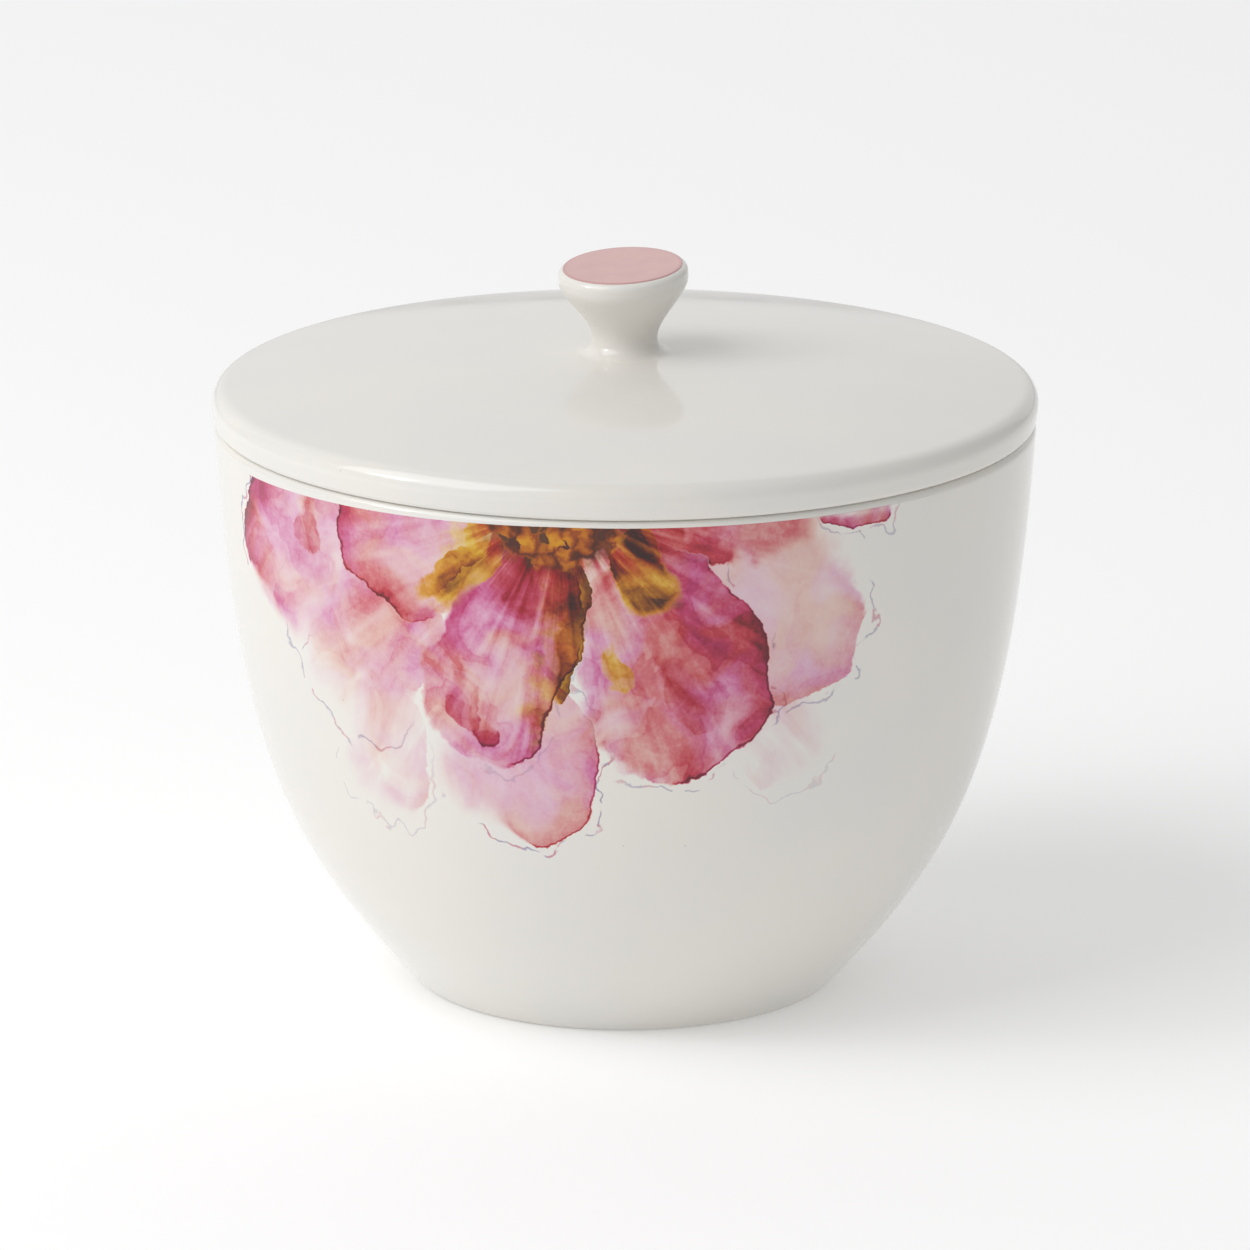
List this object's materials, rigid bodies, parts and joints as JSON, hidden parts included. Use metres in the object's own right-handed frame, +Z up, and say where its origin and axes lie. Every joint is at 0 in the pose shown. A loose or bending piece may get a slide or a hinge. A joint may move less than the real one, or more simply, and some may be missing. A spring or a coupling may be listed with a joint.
{
  "type": "sugar bowl",
  "caption": "Round deep covered sugar bowl in white glazed porcelain, with a low domed lift-off lid, a small flared knob and a watercolour flower on its front.",
  "frame": {"origin": "centre of the foot ring's resting plane", "axes": "+Z up along the bowl's axis, -Y towards the side with the painted flower, +X to the right as seen facing the flower"},
  "size_m": [0.1088, 0.1088, 0.0973],
  "materials": {
    "porcelain": "clear gloss glaze over white porcelain",
    "pink_enamel": "gloss overglaze enamel, soft pink",
    "flower_print": "gloss in-glaze print, watercolour petals in pink, magenta and ochre"
  },
  "bodies": {
    "bowl": {"bowl_body": "porcelain", "flower_transfer": "flower_print"},
    "lid": {"lid_cover": "porcelain", "lid_knob": "porcelain", "knob_enamel": "pink_enamel"}
  },
  "joints": [
    {"name": "lid_lift", "type": "slide", "parent": "bowl", "child": "lid", "axis": [0, 0, 1], "range_m": [0, 0.12]}
  ]
}
